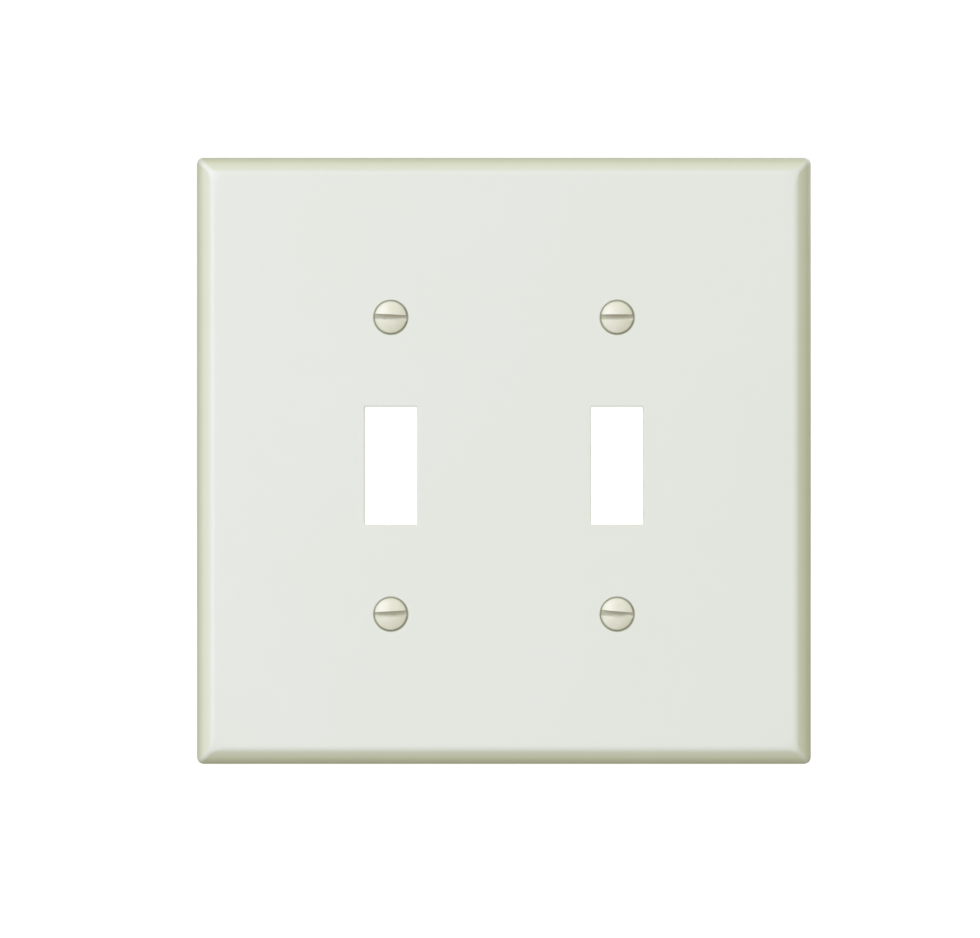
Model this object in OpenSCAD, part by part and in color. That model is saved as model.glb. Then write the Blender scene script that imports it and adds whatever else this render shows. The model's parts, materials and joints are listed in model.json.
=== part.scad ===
// Two-gang toggle wall plate with four captive slotted screws.
//
// The plate stands as it does on a wall: +X is right, +Z is up and +Y points into the wall, so the
// front face looks along -Y. The origin is the middle of the device pattern, on the plane of the
// wall that the plate's back rim rests on. Each piece is drawn lying on that plane, with its own
// z pointing out into the room, and upright() then stands it up.

/* [Plate] */
// Overall width
plate_w = 125.4; // [120:0.1:135]
// Overall height
plate_h = 123.8; // [118:0.1:134]
// Depth from the wall to the front face
plate_d = 6.35; // [6.1:0.05:8]
// Thickness of the front face
face_t = 2.3; // [2:0.1:2.6]
// Thickness of the rim where it meets the wall
rim_t = 1.9; // [1.5:0.1:2.5]
// Radius that blends the bevel into the face
face_fillet_r = 2.1; // [1.4:0.1:2.6]
// Angle of the bevel to the face where it meets that blend
bevel_top_angle = 40; // [38:1:44]
// Radius of the bevel's own slight crown
bevel_crown_r = 8; // [6.5:0.5:8.5]
// Angle of the bevel to the face where it turns down to the side wall
bevel_foot_angle = 66; // [63:1:68]
// Radius of that turn
bevel_foot_r = 5.8; // [4.5:0.1:6.2]
// Radius of the four upright corners
corner_r = 1.7; // [0.8:0.1:3]
// Distance of the outline's middle above the middle of the device pattern
outline_rise = 1; // [0:0.1:1.5]

/* [Device pattern] */
// Distance between the two switches
gang_pitch = 46.02; // [45:0.01:47]
// Distance between the upper and the lower screw of one switch
screw_pitch = 60.325; // [59:0.005:62]
// Width of a toggle opening
opening_w = 10.7; // [9.5:0.1:11]
// Height of a toggle opening
opening_h = 24.1; // [22:0.1:25]

/* [Back of the plate] */
// Height of the ledge, the ribs, the collars and the screw bosses behind the face
rib_h = 1; // [0.6:0.1:1.2]
// Distance from the outline to the sunk fields inside the ledge
field_in = 4.4; // [4:0.1:6]
// Thickness of the ribs and of the collars round the openings
rib_t = 1.2; // [0.8:0.1:1.6]
// Radius of the screw bosses
boss_r = 4.6; // [4.2:0.1:5.5]

/* [Screw holes] */
// Radius of the countersink at the front face
sink_r = 3.6; // [3.55:0.01:3.8]
// Full angle of the countersink
sink_angle = 82; // [80:1:90]
// Radius of the clearance hole
hole_r = 2; // [1.9:0.05:2.2]

/* [Screws] */
// Radius of the head at its widest
head_r = 3.3; // [3.1:0.02:3.4]
// Height of the head's straight edge
head_edge_h = 0.12; // [0.08:0.01:0.2]
// Height of the domed crown above that edge
crown_h = 1.1; // [0.8:0.05:1.4]
// Radial gap between the head and its countersink
seat_gap = 0.04; // [0.02:0.01:0.1]
// Length from the top of the head's edge to the tip
screw_len = 12.7; // [10:0.1:16]
// Radius over the thread's crests
thread_r = 1.753; // [1.7:0.001:1.8]
// Distance from one thread to the next
thread_pitch = 0.794; // [0.7:0.002:0.9]
// Radius of the relieved neck between the head and the thread
neck_r = 1.3; // [1.2:0.01:1.3]
// Width of the driver slot
slot_w = 1.15; // [0.9:0.05:1.3]
// Depth of the driver slot below the top of the crown
slot_deep = 1.3; // [1.2:0.05:1.8]
// Turn of each slot from level: upper left, upper right, lower left, lower right
slot_turns = [-2.5, 0, 3.2, -5]; // [-90:0.1:90]

/* [Retaining washers] */
// Outer radius
washer_r = 4; // [3.5:0.1:4.4]
// Thickness
washer_t = 0.6; // [0.4:0.05:0.8]
// Radial clearance on the screw's neck
washer_gap = 0.04; // [0.02:0.01:0.1]
// Distance of the washer in front of the wall
washer_z = 0.25; // [0.22:0.01:0.5]

/* [Hidden] */
PLACES = ["top_left", "top_right", "bottom_left", "bottom_right"];
SCREWS = [for (p = PLACES) str("screw_", p)];
WASHERS = [for (p = PLACES) str("retaining_washer_", p)];

$fn = 64;
over = 1;         // how far a cut runs past the surface that it opens
bite = 0.5;       // how far a rib or boss is sunk into the wall it stands on
corner_steps = 6; // flats that round one upright corner
crown_steps = 8;  // cones that make up the crown of a screw head

// Edge of the plate, from the flat face out to the side wall, as arcs that run on from one another:
// radius, first and last angle to the face, and the number of flats that stand for the arc
edge_arcs = [
    [face_fillet_r, 0, bevel_top_angle, 5],
    [bevel_crown_r, bevel_top_angle, bevel_foot_angle, 4],
    [bevel_foot_r, bevel_foot_angle, 90, 2]
];
// How far an arc runs outward and down by this angle
function out(arc, a) = arc[0] * (sin(a) - sin(arc[1]));
function down(arc, a) = arc[0] * (cos(arc[1]) - cos(a));
// How far outward and down from the edge of the flat face the arc with this number starts
function arc_out(i) = i == 0 ? 0 : arc_out(i - 1) + out(edge_arcs[i - 1], edge_arcs[i - 1][2]);
function arc_down(i) = i == 0 ? 0 : arc_down(i - 1) + down(edge_arcs[i - 1], edge_arcs[i - 1][2]);
flat_in = arc_out(len(edge_arcs));            // distance of the flat face from the outline
side_h = plate_d - arc_down(len(edge_arcs));  // height of the straight side wall

// Pocket behind the face, whose walls lean with the bevel above the knee
pocket_z = plate_d - face_t;
knee_z = 1.6;
pocket_in = rim_t + (pocket_z - knee_z) * flat_in / (plate_d - side_h);

// Screw: heights above the wall
sink_slope = tan(sink_angle / 2);
head_low_z = plate_d - (sink_r - seat_gap - head_r) / sink_slope;
head_top_z = head_low_z + head_edge_h;
crown_z = head_top_z + crown_h;
neck_top_z = head_low_z - (head_r - neck_r) / sink_slope;
neck_low_z = 0.2;
tip_z = head_top_z - screw_len;

// Sharp 60 degree thread with narrow flats on its crests
crest_w = thread_pitch / 8;
thread_deep = 0.6134 * thread_pitch;
flank_w = thread_deep * tan(30);
root_r = thread_r - thread_deep;
first_crest_z = 0.05;
tip_chamfer = 0.35;
threads = floor((first_crest_z - tip_z - tip_chamfer) / thread_pitch);

// Places of the four screws and the two openings
screw_xy = [for (y = [1, -1], x = [-1, 1]) [x * gang_pitch / 2, y * screw_pitch / 2]];
gang_x = [-gang_pitch / 2, gang_pitch / 2];

module upright() rotate([90, 0, 0]) children();

// ---- wall plate -------------------------------------------------------------------------------

// Points of the edge from the flat face outward: distance in from the outline, height above the wall
edge_points = [for (i = [0 : len(edge_arcs) - 1])
    let (arc = edge_arcs[i])
    for (k = [(i == 0 ? 0 : 1) : arc[3]])
        let (a = arc[1] + (arc[2] - arc[1]) * k / arc[3])
        [flat_in - arc_out(i) - out(arc, a), plate_d - arc_down(i) - down(arc, a)]];

// Half of the plate's section; its last flat runs on past the outline, which cuts it off, to below the wall
function band() =
    let (last = len(edge_points) - 1, a = edge_points[last - 1], b = edge_points[last])
    concat([a + (b - a) * (a.y + over) / (a.y - b.y)], [for (i = [last - 1 : -1 : 0]) edge_points[i]]);

function pocket_band() = [[rim_t, -over], [rim_t, knee_z], [pocket_in, pocket_z]];

// A symmetric section of this width, from the points of its left half
function both_sides(half, width) = concat(
    [for (p = half) [p.x - width / 2, p.y]],
    [for (i = [len(half) - 1 : -1 : 0]) [width / 2 - half[i].x, half[i].y]]
);

// A bar along y with that section, longer than the plate
module bar(half, width) {
    rotate([90, 0, 0])
        linear_extrude(2 * plate_h, center = true) polygon(both_sides(half, width));
}

// Two bars crossed, so that their slopes meet in mitred corners
module crossed(half) {
    intersection() {
        bar(half, plate_w);
        rotate([0, 0, 90]) bar(half, plate_h);
    }
}

module rounded_outline() {
    quarter = [for (i = [0 : corner_steps]) 90 * i / corner_steps];
    centres = [[1, 1, 0], [-1, 1, 90], [-1, -1, 180], [1, -1, 270]];
    polygon([for (c = centres, a = quarter)
        [c.x * (plate_w / 2 - corner_r) + corner_r * cos(c.z + a),
         c.y * (plate_h / 2 - corner_r) + corner_r * sin(c.z + a)]]);
}

module shell() {
    translate([0, outline_rise, 0]) difference() {
        intersection() {
            crossed(band());
            linear_extrude(plate_d + over) rounded_outline();
        }
        crossed(pocket_band());
    }
}

// A block behind the face, centred in x and y and sunk into the face
module rib(x, y, w, h) {
    translate([x - w / 2, y - h / 2, pocket_z - rib_h]) cube([w, h, rib_h + bite]);
}

// The ledge runs round the pocket, and the ribs cross from side to side inside it
module ribs() {
    reach_x = plate_w - 2 * rim_t;
    reach_y = plate_h - 2 * rim_t;
    difference() {
        rib(0, outline_rise, reach_x, reach_y);
        translate([0, outline_rise, pocket_z])
            cube([plate_w - 2 * field_in, plate_h - 2 * field_in, 4 * rib_h], center = true);
    }
    for (x = concat(gang_x, [0])) rib(x, outline_rise, rib_t, reach_y);
    rib(0, 0, reach_x, rib_t);
    for (x = gang_x) rib(x, 0, opening_w + 2 * rib_t, opening_h + 2 * rib_t);
    for (p = screw_xy)
        translate([p.x, p.y, pocket_z - rib_h]) cylinder(h = rib_h + bite, r = boss_r);
}

module screw_hole() {
    low = plate_d - (sink_r - hole_r + 0.5) / sink_slope;
    translate([0, 0, -over]) cylinder(h = plate_d + 2 * over, r = hole_r);
    translate([0, 0, low])
        cylinder(h = plate_d + over - low, r1 = hole_r - 0.5, r2 = sink_r + over * sink_slope);
}

module wall_plate() {
    color("ivory") upright() difference() {
        union() {
            shell();
            ribs();
        }
        for (x = gang_x)
            translate([x - opening_w / 2, -opening_h / 2, 0]) cube([opening_w, opening_h, plate_d + over]);
        for (p = screw_xy) translate([p.x, p.y, 0]) screw_hole();
    }
}

// ---- screws -----------------------------------------------------------------------------------

function crown() =
    let (r = (head_r * head_r + crown_h * crown_h) / (2 * crown_h), half = asin(head_r / r))
    [for (i = [0 : crown_steps])
        let (a = half * i / crown_steps)
        [r * sin(a), crown_z - r * (1 - cos(a))]];

function thread() = [for (i = [0 : threads - 1])
    let (z = first_crest_z - i * thread_pitch)
    each [[thread_r, z],
          [thread_r, z - crest_w],
          [root_r, z - crest_w - flank_w],
          [root_r, z - thread_pitch + flank_w]]];

module screw(i) {
    color("oldlace") upright() translate([screw_xy[i].x, screw_xy[i].y, 0])
        rotate([0, 0, slot_turns[i]]) difference() {
            rotate_extrude() polygon(concat(
                crown(),
                [[head_r, head_low_z], [neck_r, neck_top_z], [neck_r, neck_low_z]],
                thread(),
                [[root_r, tip_z + tip_chamfer], [root_r - tip_chamfer, tip_z], [0, tip_z]]
            ));
            translate([-2 * head_r, -slot_w / 2, crown_z - slot_deep])
                cube([4 * head_r, slot_w, slot_deep + over]);
        }
}

// ---- retaining washers ------------------------------------------------------------------------

module retaining_washer(i) {
    color("whitesmoke") upright() translate([screw_xy[i].x, screw_xy[i].y, washer_z])
        difference() {
            cylinder(h = washer_t, r = washer_r);
            translate([0, 0, -over]) cylinder(h = washer_t + 2 * over, r = neck_r + washer_gap);
        }
}

// ---- the whole assembly -----------------------------------------------------------------------

wall_plate();
for (i = [0 : len(PLACES) - 1]) {
    screw(i);
    retaining_washer(i);
}
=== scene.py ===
import json
import math

import bmesh
import bpy
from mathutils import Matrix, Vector
from mathutils.geometry import delaunay_2d_cdt

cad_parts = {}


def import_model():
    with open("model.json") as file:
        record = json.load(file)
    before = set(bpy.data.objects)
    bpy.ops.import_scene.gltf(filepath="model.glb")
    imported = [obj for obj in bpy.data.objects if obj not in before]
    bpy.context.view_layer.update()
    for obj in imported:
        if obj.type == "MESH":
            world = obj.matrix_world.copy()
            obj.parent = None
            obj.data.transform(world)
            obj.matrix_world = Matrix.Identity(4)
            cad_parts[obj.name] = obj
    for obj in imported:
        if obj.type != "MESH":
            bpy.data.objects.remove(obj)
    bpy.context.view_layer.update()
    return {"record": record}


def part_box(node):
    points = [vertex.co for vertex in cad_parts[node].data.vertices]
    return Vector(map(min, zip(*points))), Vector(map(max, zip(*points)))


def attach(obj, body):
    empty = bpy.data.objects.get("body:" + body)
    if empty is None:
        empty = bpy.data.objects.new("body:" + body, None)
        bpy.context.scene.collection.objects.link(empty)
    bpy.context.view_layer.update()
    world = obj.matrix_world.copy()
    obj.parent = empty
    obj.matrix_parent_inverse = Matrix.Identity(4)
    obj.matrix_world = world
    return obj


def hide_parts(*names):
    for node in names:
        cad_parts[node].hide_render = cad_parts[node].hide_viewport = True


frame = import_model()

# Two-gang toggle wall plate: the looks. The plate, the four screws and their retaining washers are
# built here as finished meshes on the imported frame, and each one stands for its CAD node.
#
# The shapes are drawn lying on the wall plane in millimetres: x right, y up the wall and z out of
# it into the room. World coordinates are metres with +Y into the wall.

MM = 0.001

# ---- sizes from the frame -----------------------------------------------------------------------

PLACES = ("top_left", "top_right", "bottom_left", "bottom_right")
PLATE_LO, PLATE_HI = (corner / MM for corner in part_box("wall_plate"))
PLATE_W = PLATE_HI.x - PLATE_LO.x
PLATE_H = PLATE_HI.z - PLATE_LO.z
PLATE_D = PLATE_HI.y - PLATE_LO.y
RISE = (PLATE_HI.z + PLATE_LO.z) / 2

MOUNTS = {m["name"]: m for m in frame["record"]["mounts"]}
GANG_X = [MOUNTS[f"toggle_opening_{side}"]["pos_m"][0] / MM for side in ("left", "right")]
PITCH_X = MOUNTS["yoke_screws"]["dims"]["spacing_x_mm"]
PITCH_Y = MOUNTS["yoke_screws"]["dims"]["spacing_y_mm"]
THREAD_R = MOUNTS["yoke_screws"]["dims"]["stud_r_mm"]
SCREW_XY = {
    p: Vector((math.copysign(PITCH_X / 2, 1 if "right" in p else -1),
               math.copysign(PITCH_Y / 2, 1 if "top" in p else -1)))
    for p in PLACES
}

# ---- sizes of the design, as in the CAD model, in millimetres -----------------------------------

FACE_T = 2.3
RIM_T = 1.9
EDGE_ARCS = ((2.1, 0, 40, 8), (8.0, 40, 66, 10), (5.8, 66, 90, 6))  # radius, angles, flats
CORNER_R = 1.5
OPENING_W, OPENING_H, OPENING_R = 10.7, 24.1, 0.3
RIB_H, RIB_T = 1.0, 1.2
FIELD_IN = 4.4
BOSS_R = 4.6
SINK_R, SINK_ANGLE, HOLE_R = 3.6, math.radians(82), 2.0
HEAD_R, HEAD_EDGE_H, CROWN_H, SEAT_GAP = 3.3, 0.12, 1.1, 0.04
SCREW_LEN, THREAD_PITCH, NECK_R = 12.7, 0.794, 1.3
THREAD_DEEP = 0.58 * THREAD_PITCH
THREAD_TOP_Z = 0.12
SLOT_W, SLOT_DEEP = 1.15, 1.3
SLOT_TURNS = dict(zip(PLACES, (-2.5, 0, 3.2, -5)))
WASHER_R, WASHER_GAP = 4.0, 0.04

POCKET_Z = PLATE_D - FACE_T
RIB_Z = POCKET_Z - RIB_H
KNEE_Z = 1.6
SINK_SLOPE = math.tan(SINK_ANGLE / 2)
HEAD_LOW_Z = PLATE_D - (SINK_R - SEAT_GAP - HEAD_R) / SINK_SLOPE
HEAD_TOP_Z = HEAD_LOW_Z + HEAD_EDGE_H
CROWN_Z = HEAD_TOP_Z + CROWN_H - 0.01
NECK_TOP_Z = HEAD_LOW_Z - (HEAD_R - NECK_R) / SINK_SLOPE
TIP_Z = HEAD_TOP_Z - SCREW_LEN


# ---- mesh tools ---------------------------------------------------------------------------------

def stand(x, y, z):
    """A point drawn lying down, in millimetres, as it stands in the world, in metres."""
    return Vector((x, -z, y)) * MM


def arc(cx, cy, r, start, end, steps):
    """Points along an arc, angles in degrees, both ends included."""
    turns = [math.radians(start + (end - start) * i / steps) for i in range(steps + 1)]
    return [(cx + r * math.cos(a), cy + r * math.sin(a)) for a in turns]


def circle(cx, cy, r, steps=64):
    """Points round a circle, anticlockwise."""
    return arc(cx, cy, r, 0, 360, steps)[:-1]


def rounded_box(cx, cy, w, h, r, steps):
    """A rectangle with round corners, anticlockwise."""
    points = []
    for sx, sy, start in ((1, 1, 0), (-1, 1, 90), (-1, -1, 180), (1, -1, 270)):
        corner = (cx + sx * (w / 2 - r), cy + sy * (h / 2 - r))
        points += arc(*corner, r, start, start + 90, steps)
    return points


def filleted(corners, steps=4):
    """A closed outline from (x, y, radius) corners, each rounded to its radius."""
    points = []
    for i, (x, y, r) in enumerate(corners):
        here = Vector((x, y))
        before = Vector(corners[i - 1][:2]) - here
        after = Vector(corners[(i + 1) % len(corners)][:2]) - here
        if r == 0:
            points.append((x, y))
            continue
        half = before.angle(after) / 2
        reach = r / math.tan(half)
        start, end = here + before.normalized() * reach, here + after.normalized() * reach
        inward = (before.normalized() + after.normalized()).normalized()
        centre = here + inward * r / math.sin(half)
        for k in range(steps + 1):
            chord = start.lerp(end, k / steps) - centre
            points.append(tuple(centre + chord.normalized() * r))
    return points


def area(loop):
    """An outline's area, positive where it runs anticlockwise."""
    return sum(a[0] * b[1] - b[0] * a[1] for a, b in zip(loop, loop[1:] + loop[:1])) / 2


def grown(loop, by):
    """An anticlockwise outline moved outward, its sharp corners by up to twice the distance."""
    sharpest = 0.5
    moved = []
    for i, point in enumerate(loop):
        here = Vector(point)
        a = (here - Vector(loop[i - 1])).normalized()
        b = (Vector(loop[(i + 1) % len(loop)]) - here).normalized()
        normal = Vector((a.y + b.y, -a.x - b.x)).normalized()
        facing = max(sharpest, normal.dot(Vector((a.y, -a.x))))
        moved.append(tuple(here + normal * by / facing))
    return moved


def inside(point, loop):
    """Whether a point lies within an outline."""
    x, y = point
    crossings = 0
    for (ax, ay), (bx, by) in zip(loop, loop[1:] + loop[:1]):
        if (ay > y) != (by > y) and x < ax + (y - ay) * (bx - ax) / (by - ay):
            crossings += 1
    return crossings % 2 == 1


class Shell:
    """A closed surface put together from rings, the bands between them and flat caps."""

    def __init__(self):
        self.bm = bmesh.new()

    def ring(self, loop, z):
        """One vertex for each point of an outline; z is a height or one height a point."""
        heights = z if isinstance(z, list) else [z] * len(loop)
        return [self.bm.verts.new(stand(x, y, h)) for (x, y), h in zip(loop, heights)]

    def band(self, a, b, paint=0):
        """Quads between two rings of the same length."""
        for i in range(len(a)):
            quad = (a[i - 1], a[i], b[i], b[i - 1])
            self.bm.faces.new(quad).material_index = paint

    def loft(self, rings, paint=0):
        """Bands from each ring to the next."""
        for a, b in zip(rings, rings[1:]):
            self.band(a, b, paint)

    def cap(self, outer, holes=(), paint=0):
        """A flat region between an outer ring and the rings of its holes."""
        rings = [outer, *holes]
        verts = [v for ring in rings for v in ring]
        flat = [Vector((v.co.x, v.co.z)) / MM for v in verts]
        edges, loops, start = [], [], 0
        for ring in rings:
            ids = list(range(start, start + len(ring)))
            edges += list(zip(ids, ids[1:] + ids[:1]))
            loops.append([tuple(flat[i]) for i in ids])
            start += len(ring)
        found, _, faces, origin, _, _ = delaunay_2d_cdt(flat, edges, [], 0, 1e-7)
        for face in faces:
            middle = sum((found[i] for i in face), Vector((0, 0))) / len(face)
            if inside(middle, loops[0]) and not any(inside(middle, hole) for hole in loops[1:]):
                made = self.bm.faces.new([verts[origin[i][0]] for i in face])
                made.material_index = paint

    def finish(self, name, materials):
        """The shell as an object, shaded smooth, with its faces turned outward."""
        bmesh.ops.recalc_face_normals(self.bm, faces=self.bm.faces)
        open_edges = [e for e in self.bm.edges if len(e.link_faces) != 2]
        if open_edges:
            raise RuntimeError(f"{name}: {len(open_edges)} edges don't have two faces")
        mesh = bpy.data.meshes.new(name)
        self.bm.to_mesh(mesh)
        self.bm.free()
        for material in materials:
            mesh.materials.append(material)
        mesh.shade_smooth()
        piece = bpy.data.objects.new(name, mesh)
        bpy.context.scene.collection.objects.link(piece)
        return piece


def smooth_by_area(piece, sharp_angle=35):
    """Large flats stay flat beside their rounded edges."""
    piece.data.set_sharp_from_angle(angle=math.radians(sharp_angle))
    weighted = piece.modifiers.new("weighted_normals", "WEIGHTED_NORMAL")
    weighted.keep_sharp = True
    weighted.weight = 90


# ---- materials ----------------------------------------------------------------------------------

SCREW_SHADE = (0.48, 0.47, 0.40)          # painted shade in the gaps round the screw heads
SHADOW_TOWARD = (0.75, 0, -0.66)    # the side of a screw where the painted shadow of its head is darkest


class Nodes:
    """Short names for the node work that the materials share."""

    def __init__(self, name):
        self.material = bpy.data.materials.new(name)
        self.material.use_nodes = True
        self.tree = self.material.node_tree
        self.shader = next(n for n in self.tree.nodes if n.type == "BSDF_PRINCIPLED")
        self.where = self.add("ShaderNodeTexCoord").outputs["Object"]

    def add(self, kind, **settings):
        node = self.tree.nodes.new(kind)
        for key, value in settings.items():
            setattr(node, key, value)
        return node

    def link(self, source, target):
        self.tree.links.new(source, target)

    def noise(self, size_mm, detail=3.0):
        """Noise whose features are about this many millimetres across."""
        node = self.add("ShaderNodeTexNoise")
        node.inputs["Scale"].default_value = 1 / (size_mm * MM)
        node.inputs["Detail"].default_value = detail
        self.link(self.where, node.inputs["Vector"])
        return node.outputs["Fac"]

    def spread(self, source, low, high, from_low=0.3, from_high=0.7):
        """A value mapped to run from low to high and held at both ends."""
        node = self.add("ShaderNodeMapRange")
        for key, value in (("From Min", from_low), ("From Max", from_high),
                           ("To Min", low), ("To Max", high)):
            node.inputs[key].default_value = value
        self.link(source, node.inputs["Value"])
        return node.outputs["Result"]

    def maths(self, operation, a, b):
        node = self.add("ShaderNodeMath", operation=operation)
        for socket, value in zip(node.inputs, (a, b)):
            if isinstance(value, (int, float)):
                socket.default_value = value
            else:
                self.link(value, socket)
        return node.outputs[0]

    def blend(self, amount, a, b):
        """Colour a where amount is 0, colour b where it is 1."""
        node = self.add("ShaderNodeMix", data_type="RGBA")
        self.link(amount, node.inputs["Factor"])
        for socket, value in zip((node.inputs[6], node.inputs[7]), (a, b)):
            if isinstance(value, tuple):
                socket.default_value = (*value, 1)
            else:
                self.link(value, socket)
        return node.outputs[2]

    def times(self, a, b):
        """Two colours multiplied."""
        node = self.add("ShaderNodeMix", data_type="RGBA", blend_type="MULTIPLY")
        node.inputs["Factor"].default_value = 1
        self.link(a, node.inputs[6])
        self.link(b, node.inputs[7])
        return node.outputs[2]

    def vector(self, operation, a, b=None, c=None):
        node = self.add("ShaderNodeVectorMath", operation=operation)
        for socket, value in zip(node.inputs, (a, b, c)):
            if isinstance(value, tuple):
                socket.default_value = value
            elif value is not None:
                self.link(value, socket)
        return node.outputs["Value" if operation in ("LENGTH", "DOT_PRODUCT") else "Vector"]

    def from_screw(self):
        """Where a point lies from the axis of the nearest screw, along the wall."""
        pitch = (PITCH_X * MM, 1, PITCH_Y * MM)
        wrapped = self.vector("WRAP", self.where, pitch, (0, 0, 0))
        centred = self.vector("SUBTRACT", wrapped, (pitch[0] / 2, 0, pitch[2] / 2))
        return self.vector("MULTIPLY", centred, (1, 0, 1))

    def near_screw(self, inner_mm, outer_mm):
        """1 within the inner distance of a screw's axis, fading to 0 at the outer distance."""
        away = self.vector("LENGTH", self.from_screw())
        return self.spread(away, 1, 0, inner_mm * MM, outer_mm * MM)

    def painted_screw_shade(self, amount):
        """A painted shade round a screw, darker below and to the right of it, where its head's
        shadow falls.
        """
        way = self.vector("NORMALIZE", self.from_screw())
        shadowed_side = self.spread(self.vector("DOT_PRODUCT", way, SHADOW_TOWARD), 0.35, 1, -1, 0.6)
        return self.blend(self.maths("MULTIPLY", amount, shadowed_side), (1.0, 1.0, 1.0), SCREW_SHADE)

    def height(self, low_mm, high_mm):
        """0 below one height above the wall, rising to 1 at the other."""
        split = self.add("ShaderNodeSeparateXYZ")
        self.link(self.where, split.inputs[0])
        return self.spread(split.outputs["Y"], 0, 1, -low_mm * MM, -high_mm * MM)

    def bump(self, height, depth_mm, under=None):
        """A normal for relief of this depth, on top of the normal under it."""
        node = self.add("ShaderNodeBump")
        node.inputs["Strength"].default_value = 1
        node.inputs["Distance"].default_value = depth_mm * MM
        self.link(height, node.inputs["Height"])
        if under is not None:
            self.link(under, node.inputs["Normal"])
        return node.outputs["Normal"]

    def set(self, **values):
        """Shader sockets by name, each a constant or a link."""
        for key, value in values.items():
            socket = self.shader.inputs[key.replace("_", " ")]
            if isinstance(value, (int, float, tuple)):
                socket.default_value = value
            else:
                self.link(value, socket)


def plate_plastic():
    """Satin moulded ivory with a cool cast, with painted shade off the flat face, toward the wall
    and round the screws, and painted highlights along the mitres.
    """
    n = Nodes("plate_plastic")
    foot_low, foot_high = 1.8, 4.6            # heights over which painted shade darkens the edge toward the wall
    shade_low, shade_high = 5.3, 5.9            # heights over which painted shade comes in up a countersink
    shade_inner, shade_outer = 3.54, 3.70       # radii over which it fades out on the face
    sunk_inner, sunk_outer = 4.0, 4.4         # radii that keep the countersinks' cones out of the painted mitre highlight
    mitre_highlight_most, full_lean = 0.6, 0.36             # how strong the painted highlight on a mitre gets, and the lean that does it
    geometry = n.add("ShaderNodeNewGeometry")
    facing = n.add("ShaderNodeSeparateXYZ")
    n.link(geometry.outputs["Normal"], facing.inputs[0])

    # painted highlight on the mitres, found where the surface leans both sideways and up or down
    leans = [n.maths("ABSOLUTE", facing.outputs[axis], 0) for axis in ("X", "Z")]
    on_mitre = n.spread(n.maths("MINIMUM", *leans), 0, mitre_highlight_most, 0, full_lean)
    not_sunk = n.maths("SUBTRACT", 1, n.near_screw(sunk_inner, sunk_outer))
    mitre_highlight = n.maths("MULTIPLY", on_mitre, not_sunk)
    # painted shade: the colour turns darker and yellower as the surface turns away from the flat
    # face
    shade_off_face = n.maths("MULTIPLY", n.spread(facing.outputs["Y"], 0, 1, -0.97, -0.55),
                       n.maths("SUBTRACT", 1, mitre_highlight))

    face = n.blend(n.spread(n.noise(38, 2), 0, 1), (0.816, 0.836, 0.780), (0.804, 0.828, 0.762))
    # the bevels' colour, darker than the face as painted shade
    edge = n.blend(n.spread(n.noise(9, 2), 0, 1), (0.700, 0.725, 0.560), (0.690, 0.716, 0.540))
    back = n.blend(n.spread(n.noise(14, 2), 0, 1), (0.805, 0.818, 0.735), (0.792, 0.804, 0.715))
    behind = n.spread(facing.outputs["Y"], 0, 1, -0.05, 0.15)
    body = n.blend(behind, n.blend(shade_off_face, face, edge), back)

    # painted shade: the edge darker near the wall, as a contact shadow
    lifted = n.maths("MAXIMUM", n.height(foot_low, foot_high), behind)
    low_down = n.maths("SUBTRACT", 1, lifted)
    wall_shade = n.blend(low_down, (1.0, 1.0, 1.0), (0.70, 0.69, 0.68))
    # painted shade in the gap round each screw head, darker below and to the right
    round_head = n.near_screw(shade_inner, shade_outer)
    painted_screw_shade = n.painted_screw_shade(n.maths("MULTIPLY", round_head, n.height(shade_low, shade_high)))

    grain = n.spread(n.noise(0.35, 2), 0, 1)
    satin = n.spread(n.noise(6, 3), 0.38, 0.45)
    orange_peel = n.bump(n.noise(1.6, 2), 0.004)
    n.set(Base_Color=n.times(n.times(body, wall_shade), painted_screw_shade),
          Roughness=n.maths("ADD", satin, n.spread(grain, -0.02, 0.02, 0, 1)),
          Normal=n.bump(grain, 0.0015, under=orange_peel),
          IOR=1.5)
    return n.material


def screw_enamel():
    """Baked enamel on the screw heads: warm, with a soft gloss, and painted shade at the rim."""
    n = Nodes("screw_enamel")
    colour = n.blend(n.spread(n.noise(1.8, 2), 0, 1), (0.85, 0.835, 0.73), (0.81, 0.80, 0.66))
    unshaded_r, shaded_r = 3.02, 3.26             # radii over which the painted shade at the rim comes in
    rim_shade = n.maths("SUBTRACT", 1, n.near_screw(unshaded_r, shaded_r))
    n.set(Base_Color=n.times(colour, n.painted_screw_shade(rim_shade)),
          Roughness=n.spread(n.noise(0.7, 2), 0.32, 0.42),
          Normal=n.bump(n.noise(0.9, 2), 0.004),
          IOR=1.52)
    return n.material


def slot_enamel():
    """The enamel inside the driver slot, with painted shadow under the upper lip."""
    n = Nodes("slot_enamel")
    across = n.add("ShaderNodeSeparateXYZ")
    n.link(n.from_screw(), across.inputs[0])
    wander = n.maths("ADD", across.outputs["Z"], n.spread(n.noise(0.9, 3), -0.12 * MM, 0.12 * MM))
    # painted shadow: the upper part of the slot darker, where its lip shades it
    slot_shadow = n.spread(wander, 0, 1, -0.42 * MM, -0.10 * MM)
    n.set(Base_Color=n.blend(slot_shadow, (0.78, 0.78, 0.64), (0.55, 0.53, 0.42)),
          Roughness=n.spread(slot_shadow, 0.30, 0.75, 0, 1),
          Normal=n.bump(n.noise(0.3, 3), 0.01),
          IOR=1.52)
    return n.material


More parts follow.
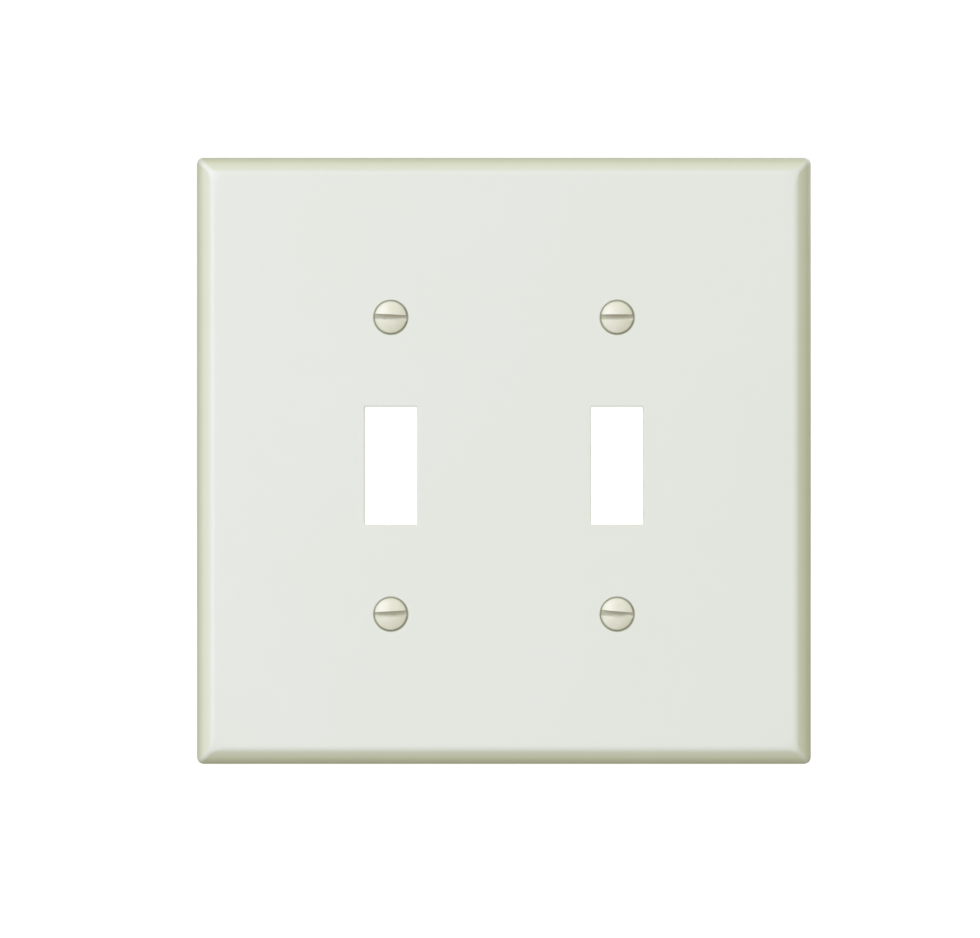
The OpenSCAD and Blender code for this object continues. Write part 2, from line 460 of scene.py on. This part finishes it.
def screw_zinc():
    """Bright zinc plate on rolled threads, with faint dull patches."""
    n = Nodes("screw_zinc")
    dull = n.spread(n.noise(1.2, 3), 0, 1, 0.4, 0.65)
    n.set(Base_Color=n.blend(dull, (0.66, 0.67, 0.69), (0.50, 0.51, 0.52)),
          Metallic=1.0,
          Roughness=n.spread(n.noise(0.5, 3), 0.22, 0.42),
          Normal=n.bump(n.noise(0.12, 2), 0.002))
    return n.material


def washer_nylon():
    """Milky unfilled nylon, cut from sheet."""
    n = Nodes("washer_nylon")
    cloudy = n.spread(n.noise(2.5, 2), 0, 1)
    n.set(Base_Color=n.blend(cloudy, (0.74, 0.74, 0.70), (0.68, 0.68, 0.63)),
          Roughness=n.spread(n.noise(0.8, 3), 0.42, 0.58),
          Normal=n.bump(n.noise(0.25, 3), 0.004),
          Subsurface_Weight=0.25,
          Subsurface_Radius=(1.2 * MM, 1.2 * MM, 1.0 * MM),
          Subsurface_Scale=1.0)
    return n.material


# ---- wall plate ---------------------------------------------------------------------------------

def outline(inset, r):
    """The plate's outline at an inset, with corners of radius r."""
    return rounded_box(0, RISE, PLATE_W - 2 * inset, PLATE_H - 2 * inset, r, 12)


def turned(r, start, end, steps):
    """Offsets along a rounding of radius r, as (sideways, along) from its centre, in degrees."""
    turns = [math.radians(start + (end - start) * i / steps) for i in range(steps + 1)]
    return [(r * math.sin(a), r * math.cos(a)) for a in turns]


def edge_profile():
    """The crowned edge from the flat face out to the side wall, as (inset, height) points."""
    points = [(0.0, PLATE_D)]
    for r, first, last, flats in EDGE_ARCS:
        x, z = points[-1]
        a = math.radians(first)
        for k in range(1, flats + 1):
            b = math.radians(first + (last - first) * k / flats)
            points.append((x - r * (math.sin(b) - math.sin(a)),
                           z - r * (math.cos(a) - math.cos(b))))
    return [(x - points[-1][0], z) for x, z in points]


def corner_radius(inset, flat_in):
    """Radius of a contour's corners: tight along the mitre, wider at the outline and the face."""
    ridge_r, face_r, spread_in = 0.95, 3.0, 1.6
    narrowing, swing = 3.4, 1.5       # how fast it tightens inward, and how late it widens again
    toward_face = max(0, (inset - flat_in + spread_in) / spread_in)
    return max(ridge_r, CORNER_R - narrowing * inset) + (face_r - ridge_r) * toward_face ** swing


def front_band():
    """The (inset, height, corner radius) rings from the flat face out to the side wall."""
    profile = edge_profile()
    return [(inset, z, corner_radius(inset, profile[0][0])) for inset, z in profile]


def back_band():
    """The rings from the side wall round the rim and up the pocket wall to the ledge."""
    rim_r, lip_r, foot_r = 0.3, 0.2, 0.5
    knee, corner_r = 0.1, 1.3
    rings = [(rim_r - side, rim_r - up, CORNER_R) for side, up in turned(rim_r, 90, 0, 4)]
    rings += [(RIM_T - lip_r + side, lip_r - up, corner_r) for side, up in turned(lip_r, 0, 90, 4)]
    top, bottom = edge_profile()[0], edge_profile()[-1]
    slope = (top[1] - bottom[1]) / top[0]
    angle = math.atan(slope)
    ledge_in = RIM_T + (RIB_Z - KNEE_Z) / slope
    reach = foot_r * math.tan(angle / 2)
    rings.append((RIM_T, KNEE_Z - knee, corner_r))
    rings.append((RIM_T + knee / slope, KNEE_Z + knee, corner_r))
    for side, up in turned(foot_r, math.degrees(angle), 0, 5):
        rings.append((ledge_in + reach - side, RIB_Z - foot_r + up, corner_r))
    return rings


def field_outlines():
    """The eight sunk fields between the ribs, each notched for its collar and its screw boss."""
    web, inner_r, outer_r = RIB_T / 2, 0.5, 0.8
    collar_x, collar_y = OPENING_W / 2 + RIB_T, OPENING_H / 2 + RIB_T
    notch = math.sqrt(BOSS_R ** 2 - web ** 2)
    half = math.degrees(math.asin(notch / BOSS_R))
    fields = []
    for gang in GANG_X:
        for sx in (-1, 1):
            outward = sx * gang > 0
            far_x = PLATE_W / 2 - FIELD_IN - abs(gang) if outward else abs(gang) - web
            for sy in (-1, 1):
                far_y = PLATE_H / 2 - FIELD_IN + sy * RISE
                boss = [(x, y, 0) for x, y in arc(0, PITCH_Y / 2, BOSS_R, half, -half, 20)]
                corners = [(collar_x, web, inner_r), (far_x, web, inner_r),
                           (far_x, far_y, outer_r), (web, far_y, inner_r), *boss,
                           (web, collar_y, inner_r), (collar_x, collar_y, inner_r)]
                loop = [(gang + sx * x, sy * y) for x, y in filleted(corners)]
                fields.append(loop if area(loop) > 0 else loop[::-1])
    return fields


def ejector_mark(field):
    """The faint round witness mark that a mould's pin leaves at the far end of a field."""
    pin_r, from_wall = 2.2, 7.0
    xs = [p[0] for p in field]
    far_y = max((p[1] for p in field), key=abs)
    return circle((min(xs) + max(xs)) / 2, far_y - math.copysign(from_wall, far_y), pin_r, 32)


def opening(gang, out):
    """The outline of a gang's toggle opening, let out by a small distance."""
    return rounded_box(gang, 0, OPENING_W + 2 * out, OPENING_H + 2 * out, OPENING_R + out, 5)


def wall_plate(plastic):
    """The moulded plate, as one closed shell."""
    shell = Shell()
    lip, edge_r = 0.12, 0.18

    # outside: face, bevel and side wall, then round the rim and up the pocket's wall to the ledge
    around = [shell.ring(outline(inset, r), z) for inset, z, r in front_band() + back_band()]
    shell.loft(around)

    # the two toggle openings, from the front edge's rounding through to the collar
    front_holes, back_holes = [], []
    for gang in GANG_X:
        levels = [(edge_r - side, PLATE_D - edge_r + up) for side, up in turned(edge_r, 0, 90, 5)]
        levels += [(0, RIB_Z + lip), (lip, RIB_Z)]
        rings = [shell.ring(opening(gang, out), z) for out, z in levels]
        shell.loft(rings)
        front_holes.append(rings[0])
        back_holes.append(rings[-1])

    # the four countersunk screw holes
    sink_low, ease = PLATE_D - (SINK_R - HOLE_R) / SINK_SLOPE, 0.04
    profile = ((SINK_R + 0.05, PLATE_D),
               (SINK_R - 0.01, PLATE_D - 0.03),
               (SINK_R - 0.06, PLATE_D - 0.08),
               (HOLE_R + ease, sink_low + ease),
               (HOLE_R, sink_low - ease),
               (HOLE_R, RIB_Z + lip),
               (HOLE_R + lip, RIB_Z))
    for centre in SCREW_XY.values():
        rings = [shell.ring(circle(*centre, r), z) for r, z in profile]
        shell.loft(rings)
        front_holes.append(rings[0])
        back_holes.append(rings[-1])

    # the sunk fields between the ribs, each with its ejector mark
    edge, foot, mark_deep, mark_draft = 0.14, 0.3, 0.08, 0.06
    for field in field_outlines():
        rings = [shell.ring(grown(field, edge - side), RIB_Z + edge - up)
                 for side, up in turned(edge, 0, 90, 3)]
        rings += [shell.ring(grown(field, up - foot), POCKET_Z - foot + side)
                  for side, up in turned(foot, 0, 90, 4)]
        shell.loft(rings)
        mark = ejector_mark(field)
        top = shell.ring(mark, POCKET_Z)
        low = shell.ring(grown(mark, -mark_draft), POCKET_Z - mark_deep)
        shell.band(top, low)
        shell.cap(low)
        shell.cap(rings[-1], [top])
        back_holes.append(rings[0])

    shell.cap(around[0], front_holes)
    shell.cap(around[-1], back_holes)
    piece = shell.finish("plate_moulding", [plastic])
    smooth_by_area(piece)
    return piece


# ---- screws -------------------------------------------------------------------------------------

def crown():
    """Radius and height along the dome, from its middle out to the head's edge."""
    steps = 14
    r = (HEAD_R ** 2 + CROWN_H ** 2) / (2 * CROWN_H)
    half = math.asin(HEAD_R / r)
    return [(r * math.sin(half * i / steps), CROWN_Z - r * (1 - math.cos(half * i / steps)))
            for i in range(1, steps + 1)]


def clamp(value):
    """A value held between 0 and 1."""
    return min(1, max(0, value))


def thread_radius(z, turn):
    """The rolled thread's radius at a height and a fraction of a turn, faded at both ends."""
    crest, flank = 0.10, 0.30           # fractions of the pitch, each side of a tooth's middle
    top_fade, tip_bare, tip_fade = 0.35, 0.3875, 0.45
    phase = (z / THREAD_PITCH - turn) % 1
    root = clamp((abs(phase - 0.5) - crest) / flank)
    fade = clamp((THREAD_TOP_Z - z) / top_fade) * clamp((z - TIP_Z - tip_bare) / tip_fade)
    return THREAD_R - THREAD_DEEP * (1 - (1 - root) * fade)


def head_and_shank(place, enamel, zinc):
    """The turned screw, before its slot is cut: head and cone enamelled, shank and thread bare."""
    shell, steps, rows_a_turn = Shell(), 64, 14
    x, y = SCREW_XY[place]
    edge = 0.03
    profile = crown() + [
        (HEAD_R, HEAD_TOP_Z - edge),
        (HEAD_R, HEAD_LOW_Z + edge),
        (HEAD_R - edge, HEAD_LOW_Z - edge),
        (NECK_R + 0.12, NECK_TOP_Z + 0.14)]
    enamelled = len(profile)
    profile += [
        (NECK_R + 0.03, NECK_TOP_Z - 0.02),
        (NECK_R, NECK_TOP_Z - 0.16),
        (NECK_R, 0.3),
        (NECK_R, 0.16)]
    rings = [shell.ring(circle(x, y, r, steps), z) for r, z in profile]
    thread_low_z = TIP_Z + 0.3
    rows = int((THREAD_TOP_Z - thread_low_z) / THREAD_PITCH * rows_a_turn)
    for k in range(1, rows + 1):
        z = THREAD_TOP_Z + (thread_low_z - THREAD_TOP_Z) * k / rows
        loop = []
        for i in range(steps):
            r, a = thread_radius(z, i / steps), 2 * math.pi * i / steps
            loop.append((x + r * math.cos(a), y + r * math.sin(a)))
        rings.append(shell.ring(loop, z))
    tip_r = THREAD_R - THREAD_DEEP
    for taken_off, up in ((0.05, 0.24), (0.28, 0.02), (0.34, 0)):
        rings.append(shell.ring(circle(x, y, tip_r - taken_off, steps), TIP_Z + up))
    shell.loft(rings[:enamelled])
    shell.loft(rings[enamelled - 1:], 1)
    shell.cap(rings[0])
    shell.cap(rings[-1], paint=1)
    return shell.finish(f"slotted_{place}", [enamel, zinc])


def slot_cutter(place, paint):
    """The long block that cuts the driver slot, turned as the screw was left."""
    shell = Shell()
    turn = math.radians(SLOT_TURNS[place])
    long, floor = 2 * HEAD_R, CROWN_Z - SLOT_DEEP
    half_w = SLOT_W / 2
    loop = [(SCREW_XY[place].x + u * math.cos(turn) - v * math.sin(turn),
             SCREW_XY[place].y + u * math.sin(turn) + v * math.cos(turn))
            for u, v in ((-long, -half_w), (long, -half_w), (long, half_w), (-long, half_w))]
    rings = [shell.ring(loop, floor), shell.ring(loop, CROWN_Z + 1)]
    shell.loft(rings)
    shell.cap(rings[0])
    shell.cap(rings[1])
    return shell.finish("slot_cutter", [paint])


def screw(place, enamel, zinc, in_slot):
    """A finished screw, slotted and with its slot's edges softened."""
    piece = head_and_shank(place, enamel, zinc)
    piece.data.materials.append(in_slot)
    cutter = slot_cutter(place, in_slot)
    cut = piece.modifiers.new("slot", "BOOLEAN")
    cut.object, cut.operation, cut.solver = cutter, "DIFFERENCE", "EXACT"
    cut.material_mode = "TRANSFER"
    evaluated = piece.evaluated_get(bpy.context.evaluated_depsgraph_get())
    slotted = bpy.data.meshes.new_from_object(evaluated)
    piece.modifiers.clear()
    piece.data = slotted
    bpy.data.objects.remove(cutter)
    soften = piece.modifiers.new("slot_edges", "BEVEL")
    soften.width, soften.segments, soften.limit_method = 0.05 * MM, 2, "ANGLE"
    soften.angle_limit = math.radians(48)
    slotted.shade_smooth()
    smooth_by_area(piece, 40)
    return piece


# ---- retaining washers --------------------------------------------------------------------------

def washer(place, nylon):
    """A flat nylon ring, with four short cuts that let it spring over the thread."""
    lo, hi = (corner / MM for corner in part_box(f"retaining_washer_{place}"))
    low, high = -hi.y, -lo.y
    x, y = SCREW_XY[place]
    inner, half_cut, cut_deep, edge = NECK_R + WASHER_GAP, 0.16, 0.75, 0.07
    cut_end_r = 0.1
    gap = math.degrees(math.asin(half_cut / inner))
    corners = []
    for quarter in range(4):
        start = 90 * quarter + 45
        tilt = math.radians(start)
        for side in (-1, 1):
            u, v = inner + cut_deep, side * half_cut
            corners.append((x + u * math.cos(tilt) - v * math.sin(tilt),
                            y + u * math.sin(tilt) + v * math.cos(tilt), cut_end_r))
        corners += [(*point, 0) for point in arc(x, y, inner, start + gap, start + 90 - gap, 10)]
    hole = filleted(corners)
    rim = circle(x, y, WASHER_R, 72)
    shell = Shell()
    steps = turned(edge, 0, 90, 3)
    levels = [(side - edge, high - edge + up) for side, up in steps]
    levels += [(up - edge, low + edge - side) for side, up in steps]
    outer = [shell.ring(grown(rim, out), z) for out, z in levels]
    inner_rings = [shell.ring(grown(hole, -out), z) for out, z in levels]
    shell.loft(outer)
    shell.loft(inner_rings)
    shell.cap(outer[0], [inner_rings[0]])
    shell.cap(outer[-1], [inner_rings[-1]])
    piece = shell.finish(f"nylon_ring_{place}", [nylon])
    smooth_by_area(piece)
    return piece


# ---- studio -------------------------------------------------------------------------------------

ROOM_LIGHT, TABLE_LIGHT, BACKDROP_LIGHT = 0.65, 0.51, 1.05
ROOM_COLOUR = (1, 0.99, 0.80, 1)
LAMP_COLOUR = (0.97, 1, 1.30)
SOFTBOXES = (                       # name, place in metres, width in metres, watts
    ("key", (-1.30, -1.50, 1.10), 1.35, 15.5),
    ("side", (-0.95, -1.9, 0.1), 0.6, 7.4),
    ("front", (-0.2, -2.2, 0.1), 0.6, 2.3),
    ("rear_fill", (0.8, 1.3, 0.7), 1.2, 9),
)


def floor():
    """A plain pale floor that the plate's lower edge rests on."""
    n = Nodes("floor_paper")
    uneven = n.spread(n.noise(400, 2), 0, 1)
    n.set(Base_Color=n.blend(uneven, (0.50, 0.50, 0.50), (0.48, 0.48, 0.48)),
          Roughness=0.9,
          Emission_Color=(1, 1, 1, 1),
          Emission_Strength=0.75)
    size, thick = 12.0, 0.02
    top = PLATE_LO.z * MM
    bm = bmesh.new()
    bmesh.ops.create_cube(bm, size=1.0)
    for v in bm.verts:
        v.co = Vector((v.co.x * size, v.co.y * size, (v.co.z - 0.5) * thick + top))
    mesh = bpy.data.meshes.new("floor")
    bm.to_mesh(mesh)
    bm.free()
    mesh.materials.append(n.material)
    made = bpy.data.objects.new("floor", mesh)
    # the world stands in for the light that comes back up from it
    made.visible_diffuse = made.visible_glossy = made.visible_shadow = False
    bpy.context.scene.collection.objects.link(made)


def world():
    """A white backdrop behind the object, and for its light a room over a slightly darker table."""
    made = bpy.data.worlds.new("studio")
    made.use_nodes = True
    tree = made.node_tree
    tree.nodes.clear()
    add, link = tree.nodes.new, tree.links.new
    direction, axes = add("ShaderNodeTexCoord"), add("ShaderNodeSeparateXYZ")
    link(direction.outputs["Generated"], axes.inputs[0])

    def ramp(axis, from_min, from_max, to_min, to_max):
        node = add("ShaderNodeMapRange")
        for key, value in (("From Min", from_min), ("From Max", from_max),
                           ("To Min", to_min), ("To Max", to_max)):
            node.inputs[key].default_value = value
        link(axes.outputs[axis], node.inputs["Value"])
        return node.outputs["Result"]

    horizon = 0.12
    room, backdrop = add("ShaderNodeBackground"), add("ShaderNodeBackground")
    room.inputs["Color"].default_value = ROOM_COLOUR
    link(ramp("Z", -horizon, horizon, TABLE_LIGHT, ROOM_LIGHT), room.inputs["Strength"])
    backdrop.inputs["Color"].default_value = (1, 1, 1, 1)
    backdrop.inputs["Strength"].default_value = BACKDROP_LIGHT

    # the camera sees the backdrop everywhere; other rays see it only straight behind the plate
    near_edge, near_middle = 0.93, 0.985
    path, either = add("ShaderNodeLightPath"), add("ShaderNodeMath")
    either.operation = "MAXIMUM"
    link(path.outputs["Is Camera Ray"], either.inputs[0])
    link(ramp("Y", near_edge, near_middle, 0, 1), either.inputs[1])
    mix, out = add("ShaderNodeMixShader"), add("ShaderNodeOutputWorld")
    link(either.outputs[0], mix.inputs[0])
    link(room.outputs[0], mix.inputs[1])
    link(backdrop.outputs[0], mix.inputs[2])
    link(mix.outputs[0], out.inputs["Surface"])
    bpy.context.scene.world = made


def softbox(name, at, size, power):
    """A square area light that looks at the plate."""
    lamp = bpy.data.lights.new(name, "AREA")
    lamp.size, lamp.energy, lamp.color = size, power, LAMP_COLOUR
    made = bpy.data.objects.new(name, lamp)
    made.location = at
    made.rotation_euler = (-Vector(at)).to_track_quat("-Z", "Y").to_euler()
    bpy.context.scene.collection.objects.link(made)


def camera():
    """Square on to the plate, as the photograph's camera stood."""
    scale = 4.92                      # image columns for each millimetre on the plate's face
    frame_w, lens, sensor = 980, 200.0, 36.0
    x, y = -2.84, -0.67               # where it points on the plate, in millimetres
    distance = frame_w * lens / sensor / scale
    lens_data = bpy.data.cameras.new("camera")
    lens_data.lens, lens_data.sensor_width = lens, sensor
    lens_data.clip_start, lens_data.clip_end = 0.01, 100
    made = bpy.data.objects.new("camera", lens_data)
    made.location = stand(x, y, PLATE_D + distance)
    made.rotation_euler = (math.radians(90), 0, 0)
    bpy.context.scene.collection.objects.link(made)
    bpy.context.scene.camera = made


# ---- the whole scene ----------------------------------------------------------------------------

bpy.context.scene.view_settings.view_transform = "Standard"
camera()
world()
floor()
for lamp in SOFTBOXES:
    softbox(*lamp)

plastic, nylon = plate_plastic(), washer_nylon()
enamel, zinc, in_slot = screw_enamel(), screw_zinc(), slot_enamel()

moulding = wall_plate(plastic)
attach(moulding, "plate")
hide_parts("wall_plate")

for place in PLACES:
    slotted = screw(place, enamel, zinc, in_slot)
    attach(slotted, f"screw_{place}")
    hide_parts(f"screw_{place}")

    ring = washer(place, nylon)
    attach(ring, f"washer_{place}")
    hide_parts(f"retaining_washer_{place}")
